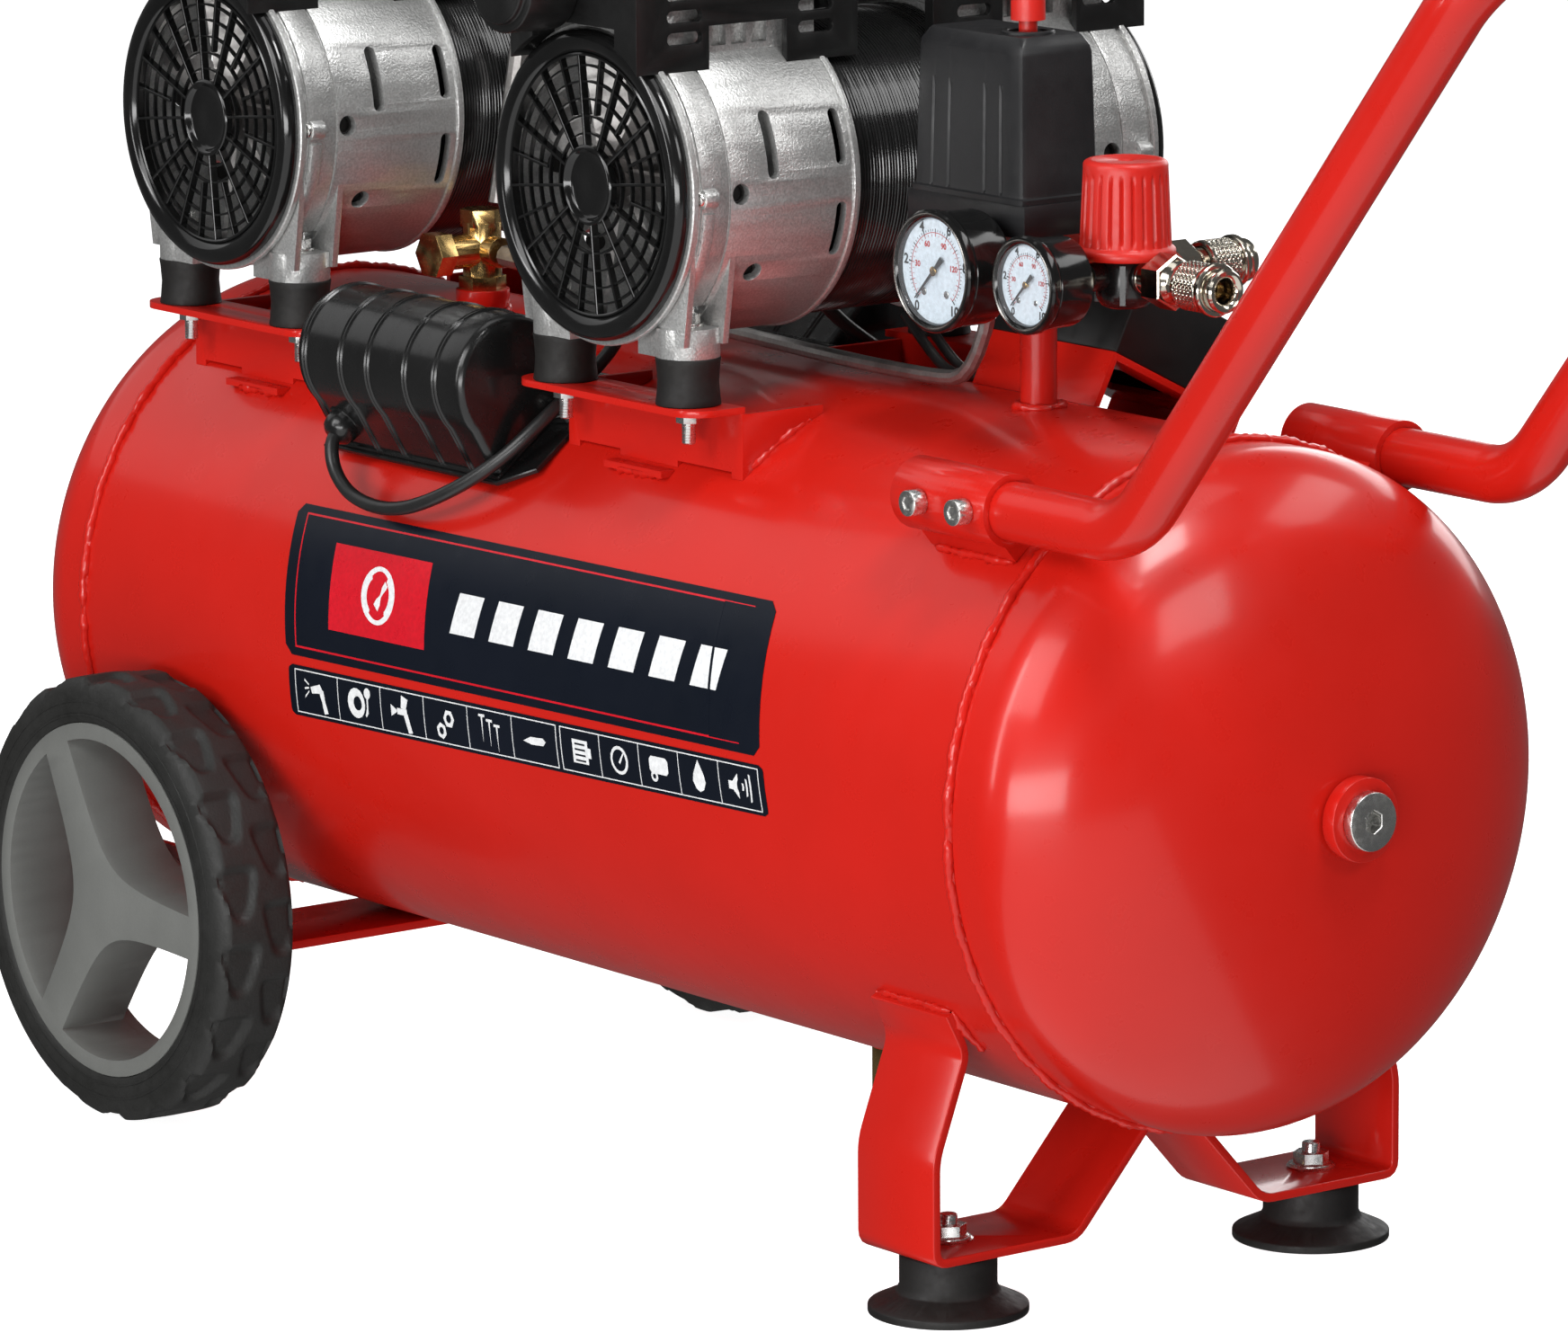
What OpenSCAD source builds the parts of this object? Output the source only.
// Twin-motor portable air compressor: a horizontal pressure tank on two wheels and two
// rubber feet, with two motor pumps, switch and regulator group, and a tubular handle.
// Millimetres. +X runs along the tank to the handle end, -Y faces the motor grilles.
// The origin is on the floor below the middle of the whole object. Modules work from the
// middle of the tank, and placed() moves them to the shared origin.

/* [Tank] */
// outer radius of the pressure tank
tank_r = 147; // [146:0.5:147]
// length of the straight barrel between the two seams
barrel_len = 655; // [645:1:665]
// plate thickness of barrel and heads
tank_wall = 2.5; // [2:0.1:4]
// depth of each domed head beyond its straight flange
head_depth = 68; // [60:1:75]

/* [Wheels] */
// outer radius of the tyres
tyre_r = 103.7; // [100:0.1:104]
// outer radius of the plastic rims
rim_r = 82.5; // [78:0.5:86]
// width of a tyre
tyre_w = 43; // [38:1:43]
// radius of the stub axles
axle_r = 6; // [5:0.5:8]

/* [Motors] */
// outer radius of the motor castings
casting_r = 69.5; // [68:0.5:70]
// bore radius of the pump cylinders
bore_r = 25.1; // [24:0.1:26]
// crank throw of each pump
throw = 8; // [6:1:8]
// number of radial ribs in each grille
grille_ribs = 14; // [10:2:18]

/* [Handle] */
// outer radius of the handle tube
handle_r = 12.5; // [11:0.5:12.5]
// lean of the handle arms from the vertical, degrees
handle_lean = 40; // [30:1:50]
// length of the straight part of each arm
arm_len = 281; // [220:1:320]

/* [Hidden] */
$fn = 64;
eps = 0.05;
tank_z = 224;
flange_len = 15;
seam_x = barrel_len / 2;
motor_x = [-248.5, 47.5];
motor_z = tank_z + 237.5;
motor_mid = 9;
front_y = -127;
cyl_y = -72;
wall_y = -50;
stator_y = -29;
piston_r = bore_r - 0.07;
piston_mid = 86;
deck_z = 98;
pad_top = -58.5;
pad_bottom = -71.5;
mount_u = 45;
mount_y = 105;
flange_z = tank_z + 145;
axle_x = -247.7;
axle_z = tyre_r;
wheel_in = 151;
foot_x = 267;
foot_y = 101.5;
strap_z = 27;
handle_y = 107;
handle_z = tank_z + 128.5;
sleeve_x = 256;
sleeve_len = 62;
bend_r = 45;
box_tilt = 38;
box_x = -158;
box_len = 128;
jbox_tilt = -27;
riser_x = 203.5;
middle_x = 105.245;
reg_x = 262;
port_z = tank_z + 211;
valve_x = -176;
pipe_z = 100.5;
valve_y = -22;
drain_x = 101;

// moves a node from the middle of the tank to the shared origin
module placed() {
  translate([-middle_x, 0, 0]) children();
}

// ---- directions, bent strips and swept tubes ----

function unit(v) = v / norm(v);
function side(p, q) = let (d = unit(q - p)) [-d[1], d[0]];
function mitre(p, i, t) =
  i == 0 ? p[0] + t * side(p[0], p[1]) :
  i == len(p) - 1 ? p[i] + t * side(p[i - 1], p[i]) :
  let (a = side(p[i - 1], p[i]), b = side(p[i], p[i + 1])) p[i] + t * (a + b) / (1 + a * b);
function band(p, t) = concat(
  [for (i = [0 : len(p) - 1]) mitre(p, i, t / 2)],
  [for (i = [len(p) - 1 : -1 : 0]) mitre(p, i, -t / 2)]);
function bezier(a, v, b, t) = (1 - t) * (1 - t) * a + 2 * t * (1 - t) * v + t * t * b;
function bent(p, d, n = 4) = concat([p[0]],
  [for (i = [1 : len(p) - 2])
    let (a = p[i] + d * unit(p[i - 1] - p[i]), b = p[i] + d * unit(p[i + 1] - p[i]))
    for (k = [0 : n]) bezier(a, p[i], b, k / n)],
  [p[len(p) - 1]]);
function mirrored(p) = concat(p, [for (i = [len(p) - 1 : -1 : 0]) [-p[i][0], p[i][1]]]);

// frame carried along a path without twisting
function across(d) = unit(abs(d[2]) < 0.8 ? cross(d, [0, 0, 1]) : cross(d, [1, 0, 0]));
function heading(p, i) = i == 0 ? unit(p[1] - p[0]) :
  i == len(p) - 1 ? unit(p[i] - p[i - 1]) : unit(unit(p[i] - p[i - 1]) + unit(p[i + 1] - p[i]));
function carried(p) = [for (i = 0, d = heading(p, 0), u = across(d); i < len(p);
  i = i + 1, d = i < len(p) ? heading(p, i) : d, u = unit(u - (u * d) * d)) [p[i], d, u]];

module along_x(h, r) {
  rotate([0, 90, 0]) cylinder(h = h, r = r);
}

module along_y(h, r) {
  rotate([-90, 0, 0]) cylinder(h = h, r = r);
}

module tube_path(path, r, sides = 10) {
  frames = carried(path);
  n = len(frames);
  points = [for (f = frames) for (k = [0 : sides - 1])
    f[0] + r * (cos(k * 360 / sides) * f[2] + sin(k * 360 / sides) * cross(f[1], f[2]))];
  walls = [for (i = [0 : n - 2]) for (k = [0 : sides - 1])
    let (a = i * sides + k, b = i * sides + (k + 1) % sides)
    [a, a + sides, b + sides, b]];
  polyhedron(points, concat(walls, [[for (k = [0 : sides - 1]) k]],
    [[for (k = [sides - 1 : -1 : 0]) (n - 1) * sides + k]]), convexity = 6);
}

module strap(points, t, width) {
  rotate([90, 0, 90]) linear_extrude(width, center = true) polygon(band(points, t));
}

module slot_2d(length, width) {
  square([length - width, width], center = true);
  for (s = [-1, 1]) translate([s * (length - width) / 2, 0]) circle(d = width);
}

// ---- tank ----

module tank_barrel() color("firebrick") placed() {
  difference() {
    union() {
      translate([-seam_x, 0, tank_z]) along_x(barrel_len, tank_r);
      for (s = [-1, 1]) translate([s * (seam_x - 2.2), 0, tank_z]) rotate([0, 90, 0])
        rotate_extrude($fn = 96) translate([tank_r - 0.4, 0]) circle(r = 2, $fn = 16);
    }
    translate([-seam_x - 1, 0, tank_z]) along_x(barrel_len + 2, tank_r - tank_wall);
    translate([riser_x, 0, tank_z + 100]) cylinder(h = 60, r = 10.6);
    translate([valve_x, valve_y, tank_z + 100]) cylinder(h = 60, r = 11.1);
    translate([drain_x, 0, tank_z - 160]) cylinder(h = 60, r = 10.1);
  }
}

// half outline of a domed head: radius against height above the seam
function dome(r, depth, n = 20) = [for (k = [0 : n])
  [r * cos(90 * k / n), flange_len + depth * sin(90 * k / n)]];
function dome_back(r, depth, n = 20) = [for (k = [n : -1 : 0])
  [r * cos(90 * k / n), flange_len + depth * sin(90 * k / n)]];

module domed_head() {
  difference() {
    rotate([0, 90, 0]) rotate_extrude($fn = 96) polygon(concat([[tank_r, 0]],
      dome(tank_r, head_depth), dome_back(tank_r - tank_wall, head_depth - tank_wall),
      [[tank_r - tank_wall, 0]]));
    along_x(200, 15 + eps);
  }
}

module head_right() color("firebrick") placed() translate([seam_x, 0, tank_z]) domed_head();

module head_left() color("firebrick") placed()
  mirror([1, 0, 0]) translate([seam_x, 0, tank_z]) domed_head();

module end_boss() {
  difference() {
    union() {
      along_x(14, 15);
      translate([7, 0, 0]) along_x(7, 18);
    }
    translate([-1, 0, 0]) along_x(20, 10);
  }
}

module tank_bosses() color("firebrick") placed() {
  for (s = [0, 1]) mirror([s, 0, 0])
    translate([seam_x + flange_len + head_depth - 6, 0, tank_z]) end_boss();
  translate([riser_x, 0, tank_z + 140]) difference() {
    cylinder(h = 9, r = 10.5);
    translate([0, 0, -1]) cylinder(h = 20, r = 8 + eps);
  }
  translate([valve_x, valve_y, tank_z + 140]) difference() {
    union() {
      cylinder(h = 17, r = 11);
      translate([0, 0, 8.5]) cylinder(h = 8.5, r = 12.5);
    }
    translate([0, 0, -1]) cylinder(h = 20, r = 7 + eps);
  }
  translate([drain_x, 0, tank_z - 154]) difference() {
    cylinder(h = 14, r = 10);
    translate([0, 0, -1]) cylinder(h = 16, r = 6 + eps);
  }
}

module end_plugs() color("silver") placed() {
  for (s = [0, 1]) mirror([s, 0, 0])
    translate([seam_x + flange_len + head_depth - 4, 0, tank_z]) difference() {
      union() {
        along_x(14, 10 - eps);
        translate([12 + eps, 0, 0]) along_x(5, 12.5);
      }
      translate([7, 0, 0]) rotate([0, 90, 0]) cylinder(h = 12, r = 5, $fn = 6);
    }
}

module label() color("black") placed() {
  translate([-165, 0, tank_z]) rotate([90, 0, 90]) rotate([0, 0, 152])
    rotate_extrude(angle = 36) translate([tank_r + eps, 0]) square([0.3, 355]);
}

// ---- feet ----

module foot_frame() color("firebrick") placed() {
  half = [[-121, 136], [-111.5, 118], [-128, 74], [-128, 29], [-52, 29], [-10, 74.9]];
  difference() {
    translate([foot_x, 0, 0]) strap(bent(mirrored(half), 6), 4, 52);
    for (s = [-1, 1]) translate([foot_x, s * foot_y, 20]) cylinder(h = 20, r = 4.2);
  }
}

module rubber_feet() color("dimgray") placed() {
  for (s = [-1, 1]) translate([foot_x, s * foot_y, 0]) difference() {
    rotate_extrude($fn = 96) polygon([[4.2, 12], [4.2, 27], [19, 27], [21, 25], [21, 12],
      [22.5, 9], [34.5, 3.5], [34.5, 0], [31, 0], [20, 4.5], [11, 4.5], [11, 12]]);
  }
}

module foot_bolts() color("silver") placed() {
  for (s = [-1, 1]) translate([foot_x, s * foot_y, 0]) {
    translate([0, 0, 6]) cylinder(h = 5.95, r = 7.5, $fn = 6);
    translate([0, 0, 6]) cylinder(h = 36, r = 4);
    translate([0, 0, 31]) cylinder(h = 2, r = 9.8);
    translate([0, 0, 31]) cylinder(h = 7, r = 8, $fn = 6);
  }
}

// ---- wheels ----

module axle_bracket() color("firebrick") placed() {
  half = [[-144, 122], [-144, 74.9]];
  difference() {
    translate([axle_x, 0, 0]) strap(bent(mirrored(half), 8), 4, 60);
    translate([axle_x, -200, axle_z]) along_y(400, axle_r + 0.2);
  }
}

module wheel_axles() color("silver") placed() {
  for (s = [0, 1]) mirror([0, s, 0]) translate([axle_x, 0, axle_z]) {
    translate([0, -182, 0]) along_y(42, axle_r);
    translate([0, -150, 0]) along_y(4, 9);
    translate([0, -142, 0]) rotate([-90, 0, 0]) cylinder(h = 7, r = 10, $fn = 6);
  }
}

// web opening between two spokes, its inner edge a smooth curve round the hub
function opening_edge() = [for (y = [-80 : 5 : 80]) [8 + sqrt(13 * 13 + 0.36 * y * y), y]];

module rim() color("gray") {
  difference() {
    union() {
      difference() {
        along_y(tyre_w - 2, rim_r);
        translate([0, -1, 0]) along_y(tyre_w + 2, rim_r - 7);
      }
      along_y(34, rim_r - 6);
    }
    for (a = [0 : 120 : 240]) rotate([0, -56 - a, 0]) rotate([90, 0, 0])
      linear_extrude(120, center = true) intersection() {
        circle(r = rim_r - 7.5);
        polygon(concat(opening_edge(), [[90, 80], [90, -80]]));
      }
    translate([0, 5, 0]) along_y(tyre_w, axle_r + 0.06);
  }
  translate([0, 23, 0]) difference() {
    along_y(tyre_w - 25, 15);
    translate([0, -1, 0]) along_y(tyre_w, axle_r + 0.06);
  }
}

module tyre() color("black") {
  h = tyre_w;
  rotate([-90, 0, 0]) rotate_extrude($fn = 96) polygon([[rim_r + eps, 0], [tyre_r - 14, 0],
    [tyre_r - 6, 2], [tyre_r - 2, 6], [tyre_r, 12], [tyre_r, h - 12], [tyre_r - 2, h - 6],
    [tyre_r - 6, h - 2], [tyre_r - 14, h], [rim_r + eps, h]]);
}

module near_wheel() {
  translate([axle_x, -wheel_in - tyre_w, axle_z]) children();
}

module rim_near() placed() near_wheel() translate([0, 1, 0]) rim();

module tyre_near() placed() near_wheel() tyre();

module rim_far() placed() mirror([0, 1, 0]) near_wheel() translate([0, 1, 0]) rim();

module tyre_far() placed() mirror([0, 1, 0]) near_wheel() tyre();

// ---- brackets welded to the tank ----

module bracket_flange() {
  difference() {
    union() {
      translate([-67, -106, 0]) cube([134, 15, 3]);
      translate([-53, -120, 0]) cube([106, 15, 3]);
      for (s = [-1, 1]) translate([s * 53, -106, 0]) cylinder(h = 3, r = 14);
    }
    for (s = [-1, 1]) translate([s * mount_u, -mount_y, -1]) cylinder(h = 5, r = 3.3);
  }
}

module motor_bracket() {
  translate([0, 0, flange_z - 3]) bracket_flange();
  difference() {
    union() {
      translate([-58, -94, tank_z + 104]) cube([127, 3, 38 + eps]);
      translate([66, -94, tank_z + 104]) cube([3, 44, 38 + eps]);
      translate([-58, -94, tank_z + 104]) cube([3, 44, 38 + eps]);
      translate([-58, -103, tank_z + 109]) cube([127, 10, 3]);
    }
    translate([-100, 0, tank_z]) along_x(200, tank_r + 0.1);
    for (x = [-38 : 38 : 38]) translate([x, -100, tank_z + 107]) rotate([90, 0, 0])
      linear_extrude(30, center = true) slot_2d(22, 7);
  }
}

module junction_bracket() {
  translate([0, 0, tank_z]) rotate([jbox_tilt, 0, 0]) difference() {
    union() {
      translate([122, -40, 164]) cube([84, 80, 3]);
      translate([122, -40, 140]) cube([84, 3, 25]);
      translate([122, 37, 140]) cube([84, 3, 25]);
    }
    along_x(300, tank_r + 0.1);
    translate([165, 0, 160]) linear_extrude(10) square([50, 40], center = true);
  }
}

module tank_brackets() color("firebrick") placed() {
  for (x = motor_x) for (s = [0, 1]) translate([x, 0, 0]) mirror([0, s, 0]) motor_bracket();
  junction_bracket();
}

module each_mount() {
  for (x = motor_x) for (u = [-1, 1]) for (s = [-1, 1])
    translate([x + u * mount_u, s * mount_y, 0]) children();
}

module rubber_mounts() color("dimgray") placed() {
  each_mount() translate([0, 0, flange_z]) rotate_extrude() polygon([[3.2, 0], [14.5, 0],
    [14, 3], [13.4, 10.5], [14, 18], [14.5, 21], [3.2, 21]]);
}

module mount_bolts() color("silver") placed() {
  each_mount() translate([0, 0, flange_z]) {
    translate([0, 0, -17]) cylinder(h = 60, r = 3);
    translate([0, 0, -8.1]) cylinder(h = 5, r = 5.5, $fn = 6);
    translate([0, 0, 34 + eps]) cylinder(h = 1.5, r = 7);
    translate([0, 0, 34 + eps]) cylinder(h = 5.5, r = 5.5, $fn = 6);
  }
}

// ---- motor pumps: u across, y along the shaft, w up from the shaft ----

module at_motor(i) {
  translate([motor_x[i], 0, motor_z]) children();
}

module mirror_end() {
  translate([0, motor_mid * 2, 0]) mirror([0, 1, 0]) children();
}

module foot_pad(y) {
  for (s = [-1, 1]) {
    translate([s * mount_u, y, pad_bottom]) cylinder(h = pad_top - pad_bottom, r = 14);
    translate([s * 37 - 12, y - 12, pad_bottom]) cube([24, 24, pad_top - pad_bottom]);
    for (d = [-12, 9]) translate([0, y + d + 3, 0]) rotate([90, 0, 0]) linear_extrude(3)
      polygon([[s * 58, pad_bottom + 6], [s * 66, -14], [s * 40, -30], [s * 28, pad_bottom + 6]]);
  }
}

module casting(pad_y) {
  difference() {
    union() {
      translate([0, front_y + 6.6, 0]) along_y(6, casting_r - 1);
      translate([0, front_y + 12, 0]) along_y(stator_y - front_y - 12, casting_r);
      translate([-38, cyl_y - 42, 40]) cube([76, 84, deck_z - 40]);
      foot_pad(pad_y);
      for (s = [-1, 1]) translate([s * (casting_r - 1), front_y + 12, 0]) along_y(7, 4.4);
    }
    translate([0, front_y, 0]) along_y(wall_y - front_y - 4, casting_r - 4);
    translate([0, wall_y, 0]) along_y(40, casting_r - 4);
    translate([0, front_y, 0]) along_y(120, 6.06);
    translate([0, -100.6, 0]) difference() {
      along_y(1.2, casting_r + 2);
      translate([0, -1, 0]) along_y(4, casting_r - 0.8);
    }
    translate([0, cyl_y, 30]) cylinder(h = 80, r = 29 + eps);
    for (s = [-1, 1]) {
      for (p = [-82, -71, -60]) translate([s * 38 - 5, p - 4, 61]) cube([10, 8, 24]);
      translate([s * 60, -76, 20]) rotate([90, 90, 90]) linear_extrude(30, center = true)
        slot_2d(29, 6);
      for (w = [20.5, -19.5]) translate([s * 60, -39, w]) rotate([90, 90, 90])
        linear_extrude(30, center = true) slot_2d(24, 5.5);
      translate([s * 60, -94, 0.5]) rotate([0, 90, 0]) cylinder(h = 30, r = 4.6, center = true);
      translate([s * 57, -81, -34]) rotate([0, 90 + s * 30, 0])
        cylinder(h = 30, r = 4.6, center = true);
      translate([s * mount_u, pad_y, pad_bottom - 1]) cylinder(h = 16, r = 3.3);
      translate([s * mount_u, pad_y, pad_top]) cylinder(h = 9, r = 8.2);
    }
  }
}

module casting_front_left() color("silver") placed() at_motor(0) casting(-mount_y);

module casting_front_right() color("silver") placed() at_motor(1) casting(-mount_y);

module castings_rear() color("silver") placed() {
  for (i = [0, 1]) at_motor(i) mirror_end() casting(2 * motor_mid - mount_y);
}

module stators() color("dimgray") placed() {
  for (i = [0, 1]) at_motor(i) difference() {
    union() {
      translate([0, stator_y, 0]) along_y(2 * (motor_mid - stator_y), 66.5);
      for (e = [0, 1]) translate([0, 2 * motor_mid * e, 0]) mirror([0, e, 0])
        translate([0, stator_y - 16, 0]) along_y(17, 57);
    }
    translate([0, stator_y - 20, 0]) along_y(130, 35);
    for (k = [0 : 8]) translate([0, stator_y + 3.5 + k * 8.4, 0]) difference() {
      along_y(1.6, 70);
      translate([0, -1, 0]) along_y(4, 65);
    }
  }
}

module fan() {
  along_y(13, 12);
  for (a = [0 : 360 / 7 : 359]) rotate([0, a, 0]) translate([35, 6.5, 0]) rotate([38, 0, 0])
    cube([48, 2, 17], center = true);
}

module crank(dir) {
  translate([dir * throw, -6, 0]) along_y(12, 13);
  translate([-dir * 12, -6, 0]) along_y(3, 9.5);
}

module rotor(i) {
  at_motor(i) {
    translate([0, -116, 0]) along_y(2 * (motor_mid + 116), 6);
    translate([0, stator_y + 1, 0]) along_y(2 * (motor_mid - stator_y - 1), 34);
    translate([0, -113, 0]) fan();
    translate([0, 2 * motor_mid + 100, 0]) fan();
    translate([0, cyl_y, 0]) crank(1);
    translate([0, 2 * motor_mid - cyl_y, 0]) crank(-1);
  }
}

module rotor_left() color("darkgray") placed() rotor(0);

module rotor_right() color("darkgray") placed() rotor(1);

module piston() {
  translate([0, cyl_y, 0]) {
    translate([0, 0, piston_mid - 9]) cylinder(h = 9, r = piston_r);
    translate([-6, -4.5, 33]) cube([12, 9, piston_mid - 40]);
    translate([0, -4.5, 0]) difference() {
      along_y(9, 36);
      translate([0, -1, 0]) along_y(11, 31.5);
    }
  }
}

module piston_front_left() color("gainsboro") placed() at_motor(0) piston();

module piston_rear_left() color("gainsboro") placed() at_motor(0) mirror_end() piston();

module piston_front_right() color("gainsboro") placed() at_motor(1) piston();

module piston_rear_right() color("gainsboro") placed() at_motor(1) mirror_end() piston();

module grille() {
  translate([0, front_y, 0]) rotate([-90, 0, 0]) {
    difference() {
      cylinder(h = 6.55, r = 65.5);
      translate([0, 0, -1]) cylinder(h = 9, r = 58);
    }
    cylinder(h = 3, r = 15);
    linear_extrude(2.4) for (k = [0 : grille_ribs - 1]) rotate(k * 360 / grille_ribs)
      translate([k % 2 == 0 ? 14 : 30, -0.8]) square([k % 2 == 0 ? 45 : 29, 1.6]);
    for (r = [24, 33, 42, 51]) linear_extrude(2) difference() {
      circle(r = r + 0.7);
      circle(r = r - 0.7);
    }
  }
}

module grilles() color("black") placed() {
  for (i = [0, 1]) at_motor(i) {
    grille();
    mirror_end() grille();
  }
}

module pump_head() {
  translate([0, cyl_y, 0]) {
    difference() {
      union() {
        translate([0, 0, 62]) cylinder(h = deck_z - 62, r = 29);
        translate([-38, -42, deck_z]) cube([76, 84, 4]);
      }
      translate([0, 0, 50]) cylinder(h = deck_z - 50 - 1, r = bore_r);
    }
    for (k = [0 : 8]) translate([-36, -40 + k * 9.6, deck_z + 4]) cube([72, 3, 18]);
    translate([-36, -40, deck_z + 4]) cube([72, 79.8, 6]);
  }
}

module cylinder_heads() color("silver") placed() {
  for (i = [0, 1]) at_motor(i) {
    pump_head();
    mirror_end() pump_head();
  }
}

module hood() {
  translate([0, cyl_y, 0]) difference() {
    translate([-46, -60, 52]) cube([92, 120, 78]);
    translate([-42.5, -56.5, 40]) cube([85, 113, 86.5]);
    translate([0, 0, 0]) cube([200, 42, 142], center = true);
    translate([0, 60, 26]) cube([80, 60, 100], center = true);
    translate([0, -60, 26]) cube([60, 60, 90], center = true);
    for (w = [66.5, 76, 85.5]) for (p = [-34, 37]) translate([0, p, w]) rotate([90, 0, 90])
      linear_extrude(200, center = true) slot_2d(19, 5.5);
    for (p = [-40 : 16 : 40]) translate([0, p, 128]) linear_extrude(10, center = true)
      slot_2d(64, 6);
    translate([-17, -61, 90]) along_y(10, 14);
    translate([0, -70, 0]) along_y(140, casting_r + eps);
    translate([0, 50, pipe_z]) along_y(20, 5.2);
  }
}

module head_covers() color("black") placed() {
  for (i = [0, 1]) at_motor(i) {
    hood();
    mirror_end() hood();
  }
}

module intake_filter() {
  translate([-17, cyl_y - 60, 90]) {
    translate([0, -26, 0]) along_y(26 - eps, 23);
    translate([0, -29, 0]) along_y(4, 19);
    translate([0, -1, 0]) along_y(12, 13.7);
  }
}

module intake_filters() color("black") placed() {
  for (i = [0, 1]) at_motor(i) {
    intake_filter();
    mirror_end() intake_filter();
  }
}

// ---- electrical boxes ----

module on_shoulder(tilt) {
  translate([0, 0, tank_z]) rotate([tilt, 0, 0]) children();
}

module both_shoulders() {
  for (s = [0, 1]) mirror([0, s, 0]) on_shoulder(box_tilt) children();
}

module half_round(r, base) {
  intersection() {
    translate([0, 178]) circle(r = r);
    translate([-40, 150]) square([80, 80]);
  }
  polygon([[-r, 178], [r, 178], [base, 150], [-base, 150]]);
}

module capacitor_boxes() color("black") placed() {
  both_shoulders() {
    difference() {
      union() {
        translate([box_x, 0, 0]) rotate([90, 0, 90]) linear_extrude(box_len) half_round(30, 33);
        for (k = [0 : 4]) translate([box_x + 8 + k * 28, 0, 0]) rotate([90, 0, 90])
          linear_extrude(3) half_round(31.2, 34.2);
      }
      translate([box_x + 2.5, 0, 0]) rotate([90, 0, 90]) linear_extrude(box_len - 5)
        half_round(27.5, 30.5);
      translate([box_x + 18, -40, 163]) along_y(12, 5);
    }
    translate([box_x - 6, -36, 147.4]) cube([box_len + 24, 72, 2.6]);
    translate([box_x + box_len, 4, 150]) cube([16, 14, 5]);
    translate([box_x + 18, -37, 163]) difference() {
      along_y(11, 7.5);
      translate([0, -1, 0]) along_y(14, 3.6);
    }
  }
}

module capacitors() color("white") placed() {
  both_shoulders() {
    translate([box_x + 22, 0, 176]) along_x(92, 20);
    translate([box_x + 16, 0, 176]) along_x(7, 6);
  }
}

function lead_points() = [[-140, -117.3, 115.2], [-140, -123, 110.8], [-140, -129.5, 105.7],
  [-139, -134, 100], [-132, -136.5, 88], [-115, -137.5, 78.5], [-83, -137.5, 77.5],
  [-51, -133, 89], [-22, -124, 103.5], [-16.5, -104, 124], [-16.5, -84, 137.5],
  [-18, -62, 153], [-24, -50, 170], [-23, -45, 182], [-7.6, -44, 194]];
function smooth(p) = concat([p[0]],
  [for (i = [1 : len(p) - 2]) for (t = [0, 0.35, 0.7])
    bezier((p[i - 1] + p[i]) / 2, p[i], (p[i] + p[i + 1]) / 2, t)],
  [p[len(p) - 1]]);

module capacitor_leads() color("black") placed() {
  for (s = [0, 1]) mirror([0, s, 0]) translate([0, 0, tank_z])
    tube_path(smooth(lead_points()), 3.2);
}

module junction_box() color("black") placed() {
  on_shoulder(jbox_tilt) difference() {
    translate([120, -39.5, 167 + eps]) cube([86, 79, 36]);
    translate([122.5, -37, 165]) cube([81, 74, 35.5]);
  }
}

// ---- air pipes and valve ----

function loop_points(x) = [[x, -29.9, 338], [x, 9, 338], [x, 47.9, 338]];
function drop_points(x, side, y, z) = [[x, 9, 338], [x + side * 30, 9, 338],
  [x + side * 62, 9, 334], [x + side * 74, 6, 318], [x + side * 75, 2, 280],
  [x + side * 75, y, z]];
function unloader_points() = [[-152, 4, 176], [-120, 4, 158], [-60, 0, 155], [0, -6, 155],
  [80, -8, 153], [147, -8, 153], [165, -8, 156], [179, -8, 180], [183, -6, 214]];

module delivery_pipes() color("gray") placed() {
  translate([0, 0, tank_z]) {
    for (x = motor_x) tube_path(smooth(loop_points(x)), 5);
    tube_path(smooth(drop_points(motor_x[0], 1, -14, 196)), 5);
    tube_path(smooth(drop_points(motor_x[1], -1, 6, 190)), 5);
    tube_path(smooth([[-27.5, 6, 190], [-30, 2, 172], [-60, -14, 168], [-110, -22, 172],
      [-158, -22, 174]]), 5);
    tube_path(smooth(unloader_points()), 3.4);
  }
}

module check_valve() color("goldenrod") placed() {
  translate([valve_x, valve_y, tank_z]) difference() {
    union() {
      translate([0, 0, 142]) cylinder(h = 20, r = 7);
      translate([0, 0, 157 + eps]) cylinder(h = 6, r = 11, $fn = 6);
      translate([0, 0, 162]) cylinder(h = 26, r = 9);
      translate([0, 0, 186]) cylinder(h = 8, r = 10, $fn = 6);
      translate([0, -22, 175]) along_y(22, 8);
      translate([0, -30, 175]) rotate([-90, 0, 0]) cylinder(h = 9, r = 11, $fn = 6);
      translate([0, 0, 175]) along_x(15, 7);
    }
    translate([0, 0, 140]) cylinder(h = 44, r = 4);
  }
}

module riser_manifold() color("firebrick") placed() {
  translate([riser_x, 0, tank_z]) {
    difference() {
      translate([0, 0, 141]) cylinder(h = 60, r = 8);
      translate([0, 0, 140]) cylinder(h = 50, r = 5);
    }
    translate([-13, -13, 198]) cube([26, 26, 26]);
    translate([13, 0, 211]) along_x(reg_x - riser_x - 13 - 13 - eps, 7);
    translate([0, -32, 211]) along_y(20, 6);
  }
}

// ---- pressure switch ----

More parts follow.
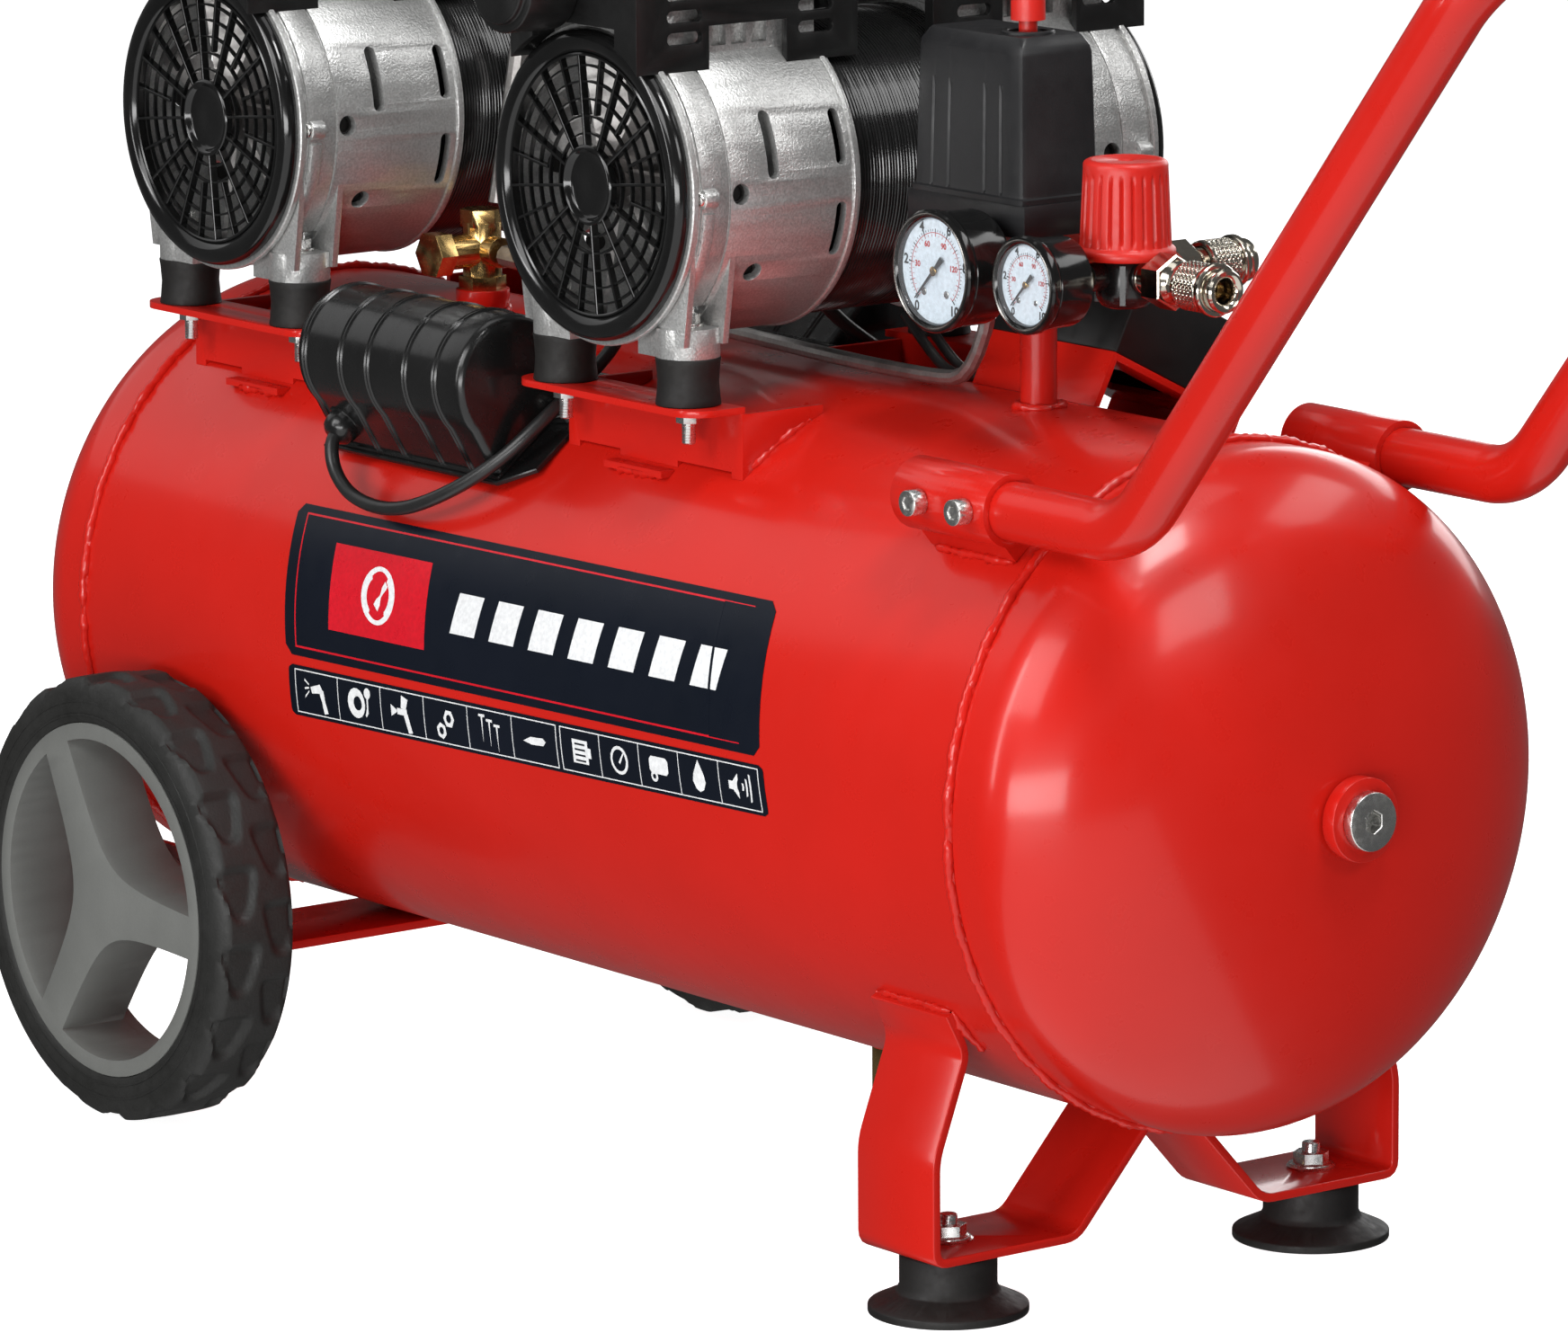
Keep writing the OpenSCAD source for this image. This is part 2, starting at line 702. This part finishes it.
module switch_base() color("dimgray") placed() {
  translate([0, 0, tank_z]) difference() {
    union() {
      translate([146, -26, 224 + eps]) cube([80, 48, 14]);
      translate([186, 22, 231]) along_y(14, 8);
      translate([186, 22, 231]) rotate([-90, 0, 0]) cylinder(h = 6, r = 10, $fn = 6);
    }
    translate([186, 18, 231]) along_y(20, 4);
  }
}

module switch_cover() color("dimgray") placed() {
  translate([0, 0, tank_z + 238.1]) difference() {
    union() {
      translate([146, -26, 0]) cube([80, 48, 4]);
      translate([149, -25, 3]) cube([75, 43, 60]);
      translate([152, -24, 62]) cube([70, 40, 9]);
    }
    translate([151.5, -22.5, -1]) cube([70, 38, 68]);
    for (x = [161, 173, 197, 209]) translate([x, -26, 4]) cube([1.6, 1.8, 50]);
    translate([204, -6, 60]) cylinder(h = 20, r = 4.4);
    translate([204, -6, 69.5]) cylinder(h = 5, r = 8);
  }
}

module switch_knob() color("red") placed() {
  translate([204, -6, tank_z + 238.1]) {
    translate([0, 0, 40]) cylinder(h = 42, r = 4);
    translate([0, 0, 76.5]) cylinder(h = 12, r = 7.4);
  }
}

// ---- gauges and regulator ----

module gauge_case(r, face_y, depth) {
  translate([0, face_y, 0]) difference() {
    union() {
      along_y(5, r);
      along_y(depth, r - 1.5);
    }
    translate([0, -1, 0]) along_y(3, r - 3.5);
    translate([0, 1, 0]) along_y(2.95, r - 4);
    translate([0, 3, 0]) along_y(12, 1.26);
  }
}

module gauge_cases() color("black") placed() {
  translate([riser_x, 0, port_z]) gauge_case(26.5, -59.5, 27);
  translate([reg_x - 2, 0, port_z]) gauge_case(21, -55, 25);
  translate([reg_x - 2, -30, port_z]) along_y(12, 5);
}

module gauge_dial(r, y) {
  translate([0, y, 0]) difference() {
    along_y(0.8, r);
    translate([0, -1, 0]) along_y(3, 1.7);
  }
}

module gauge_dials() color("aliceblue") placed() {
  translate([riser_x, 0, port_z]) gauge_dial(22.4, -56.4);
  translate([reg_x - 2, 0, port_z]) gauge_dial(16.9, -51.9);
}

module gauge_lenses() color("white", 0.35) placed() {
  translate([riser_x, -59.2, port_z]) along_y(0.5, 22.4);
  translate([reg_x - 2, -54.7, port_z]) along_y(0.5, 16.9);
}

module needle(length, y) {
  translate([0, y, 0]) {
    along_y(6.5, 1.2);
    along_y(1.6, 2.4);
    rotate([0, -225, 0]) translate([-6, 0.4, -0.5]) cube([length + 6, 0.8, 1]);
  }
}

module needle_large() color("crimson") placed() translate([riser_x, 0, port_z]) needle(17, -58.4);

module needle_small() color("crimson") placed() translate([reg_x - 2, 0, port_z]) needle(12.5, -53.9);

module regulator_body() color("black") placed() {
  translate([reg_x, 0, tank_z]) {
    translate([0, 0, 197]) cylinder(h = 21, r = 12.8);
    translate([0, 0, 217]) cylinder(h = 27, r = 6);
    translate([-2, -18 + eps, 208]) along_y(8, 5);
  }
}

module regulator_knob() color("red") placed() {
  translate([reg_x, 0, tank_z + 218.4]) difference() {
    union() {
      cylinder(h = 5, r = 21.5);
      translate([0, 0, 5]) cylinder(h = 35, r1 = 19.6, r2 = 18.2);
      translate([0, 0, 40]) cylinder(h = 2, r1 = 18.2, r2 = 16.4);
    }
    for (a = [0 : 15 : 359]) rotate(a) translate([19.8, 0, 6]) cylinder(h = 29, r = 1.3, $fn = 12);
    translate([0, 0, -1]) cylinder(h = 28, r = 6.06);
  }
}

// quick coupler pointing along +X from its port
module coupler_body() {
  difference() {
    union() {
      along_x(14, 7);
      translate([9, 0, 0]) rotate([0, 90, 0]) rotate(30) cylinder(h = 12, r = 12, $fn = 6);
      translate([20, 0, 0]) along_x(34, 8);
      translate([49, 0, 0]) along_x(5, 9.3);
    }
    translate([30, 0, 0]) along_x(30, 5.1);
  }
}

module coupler_sleeve() {
  difference() {
    union() {
      translate([28, 0, 0]) along_x(20.5, 10.6);
      for (a = [0 : 15 : 359]) translate([30, 0, 0]) rotate([a, 0, 0])
        translate([0, 10.2, -0.6]) cube([13, 1, 1.2]);
      translate([44.5, 0, 0]) along_x(4, 11.4);
    }
    translate([27, 0, 0]) along_x(24, 8.06);
  }
}

module side_port() {
  translate([reg_x + 12.9, 0, port_z]) children();
}

module rear_port() {
  translate([reg_x, 12.9, port_z]) rotate([0, 0, 90]) children();
}

module coupler_bodies() color("silver") placed() {
  side_port() coupler_body();
  rear_port() coupler_body();
}

module coupler_sleeve_side() color("gainsboro") placed() side_port() coupler_sleeve();

module coupler_sleeve_rear() color("gainsboro") placed() rear_port() coupler_sleeve();

module safety_valve() color("goldenrod") placed() {
  translate([riser_x, 13 + eps, port_z]) difference() {
    union() {
      along_y(6, 6.5);
      translate([0, 4, 0]) rotate([-90, 0, 0]) cylinder(h = 8, r = 9, $fn = 6);
      translate([0, 11, 0]) along_y(18, 6.5);
    }
    translate([0, 14, 0]) along_y(20, 3.3);
  }
}

module safety_ring() color("silver") placed() {
  translate([riser_x, 13 + eps, port_z]) {
    translate([0, 20, 0]) along_y(19, 3);
    translate([0, 48, 0]) rotate_extrude() translate([9.5, 0]) circle(r = 1.2, $fn = 16);
  }
}

module drain_valve() color("goldenrod") placed() {
  translate([drain_x, 0, tank_z - 178]) difference() {
    union() {
      cylinder(h = 24 - eps, r = 10, $fn = 6);
      translate([0, 0, 20]) cylinder(h = 16, r = 6);
    }
    translate([0, 0, -1]) cylinder(h = 20, r = 4.06);
    translate([0, 0, 10]) cylinder(h = 30, r = 2.5);
    translate([0, 0, 14]) along_x(20, 2);
  }
}

module drain_screw() color("goldenrod") placed() {
  translate([drain_x, 0, tank_z - 178]) {
    translate([0, 0, -12]) cylinder(h = 24, r = 4);
    translate([0, 0, -14]) cylinder(h = 12, r = 9);
    for (a = [0 : 30 : 359]) rotate(a) translate([8.6, -0.8, -14]) cube([1.4, 1.6, 12]);
  }
}

// ---- handle ----

module both_sides() {
  for (s = [0, 1]) mirror([0, s, 0]) children();
}

module handle_sleeves() color("firebrick") placed() {
  both_sides() difference() {
    union() {
      translate([sleeve_x, -handle_y, handle_z]) along_x(sleeve_len, handle_r + 3);
      translate([sleeve_x + 3, 0, tank_z]) rotate([39.8, 0, 0])
        translate([0, -11, tank_r + 0.2]) cube([sleeve_len - 6, 22, 10]);
    }
    translate([sleeve_x - 1, -handle_y, handle_z]) along_x(sleeve_len + 2, handle_r + 0.1);
    for (x = [20, 50]) translate([sleeve_x + x, -handle_y, handle_z]) rotate([90, 0, 0])
      cylinder(h = 30, r = 3.1);
  }
}

module handle_screws() color("silver") placed() {
  both_sides() for (x = [20, 50]) translate([sleeve_x + x, -handle_y, handle_z])
    rotate([90, 0, 0]) {
      translate([0, 0, 5]) cylinder(h = 17, r = 3);
      translate([0, 0, handle_r + 3 + eps]) difference() {
        cylinder(h = 7, r = 5.5);
        translate([0, 0, 3]) cylinder(h = 6, r = 2.9, $fn = 6);
      }
    }
}

function fillet(a, v, b, r, n = 8) =
  let (p = unit(v - a), q = unit(b - v), turn = acos(p * q), inward = unit(q - (q * p) * p),
    start = v - r * tan(turn / 2) * p)
  [for (k = [0 : n]) start + r * (sin(turn * k / n) * p + (1 - cos(turn * k / n)) * inward)];
function arm_reach() = bend_r * tan((90 - handle_lean) / 2) + arm_len + bend_r;
function bar_x() = 395 + arm_reach() * sin(handle_lean);
function bar_z() = handle_z + arm_reach() * cos(handle_lean);

// centre line of the handle from one socket round to the other
function handle_points(early) =
  let (y = handle_y, a = [sleeve_x + 4 - early, -y, handle_z], b = [395, -y, handle_z],
    c = [bar_x(), -y, bar_z()], d = [bar_x(), y, bar_z()], e = [395, y, handle_z],
    f = [sleeve_x + 4 - early, y, handle_z])
  concat([a], fillet(a, b, c, bend_r), fillet(b, c, d, bend_r), fillet(c, d, e, bend_r),
    fillet(d, e, f, bend_r), [f]);

module handle_tube() color("firebrick") placed() {
  difference() {
    tube_path(handle_points(0), handle_r, 24);
    tube_path(handle_points(2), handle_r - 1.5, 24);
    both_sides() for (x = [20, 50]) translate([sleeve_x + x, -handle_y, handle_z])
      rotate([90, 0, 0]) cylinder(h = 20, r = 3.1);
  }
}

module handle_grip() color("black") placed() {
  translate([bar_x(), -60, bar_z()]) difference() {
    along_y(120, handle_r + 3.5);
    translate([0, -1, 0]) along_y(122, handle_r + eps);
  }
}

tank_barrel();
head_left();
head_right();
tank_bosses();
end_plugs();
label();
foot_frame();
rubber_feet();
foot_bolts();
axle_bracket();
wheel_axles();
rim_near();
tyre_near();
rim_far();
tyre_far();
tank_brackets();
rubber_mounts();
mount_bolts();
casting_front_left();
casting_front_right();
castings_rear();
stators();
rotor_left();
rotor_right();
piston_front_left();
piston_rear_left();
piston_front_right();
piston_rear_right();
grilles();
cylinder_heads();
head_covers();
intake_filters();
capacitor_boxes();
capacitors();
capacitor_leads();
junction_box();
delivery_pipes();
check_valve();
riser_manifold();
switch_base();
switch_cover();
switch_knob();
gauge_cases();
gauge_dials();
gauge_lenses();
needle_large();
needle_small();
regulator_body();
regulator_knob();
coupler_bodies();
coupler_sleeve_side();
coupler_sleeve_rear();
safety_valve();
safety_ring();
drain_valve();
drain_screw();
handle_sleeves();
handle_screws();
handle_tube();
handle_grip();
